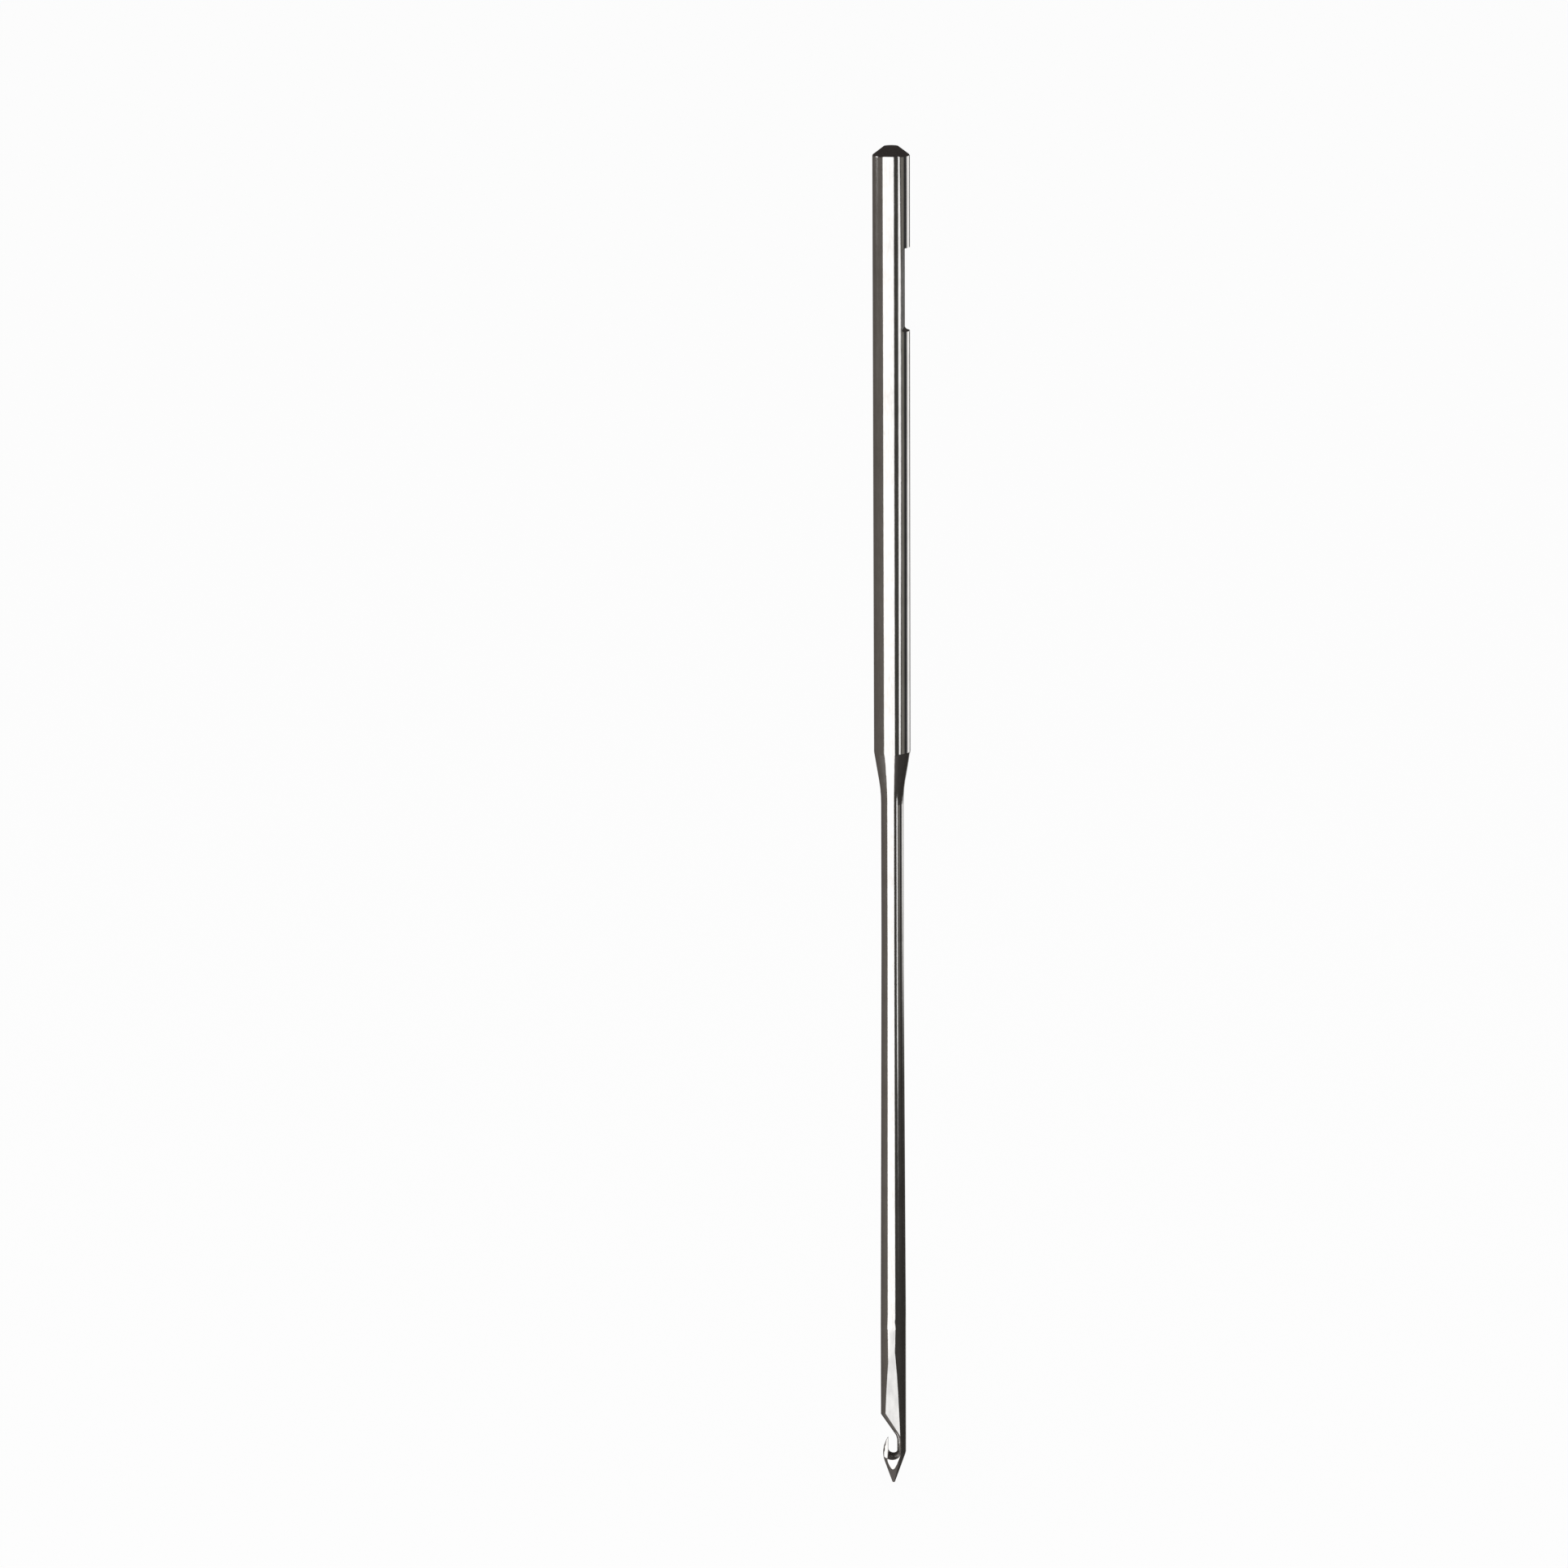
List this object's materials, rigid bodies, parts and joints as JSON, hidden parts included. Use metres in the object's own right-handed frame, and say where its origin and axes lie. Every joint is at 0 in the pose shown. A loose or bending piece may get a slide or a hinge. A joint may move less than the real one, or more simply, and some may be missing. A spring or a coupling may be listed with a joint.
{
  "type": "sewing machine needle",
  "caption": "Straight round needle with a clamp flat on its thick shank, a short taper to a slimmer blade, and an open hook with a curved barb just above its pointed tip.",
  "frame": {"origin": "centre of the flat end of the shank, on the needle's axis", "axes": "+Z along the needle's axis, from the point up to the shank's end; +X out of the clamp flat on the shank; the hook opens towards -X"},
  "size_m": [0.002, 0.002, 0.0762],
  "materials": {
    "polished_steel": "mirror polished"
  },
  "bodies": {
    "root": {"needle": "polished_steel"}
  },
  "joints": []
}
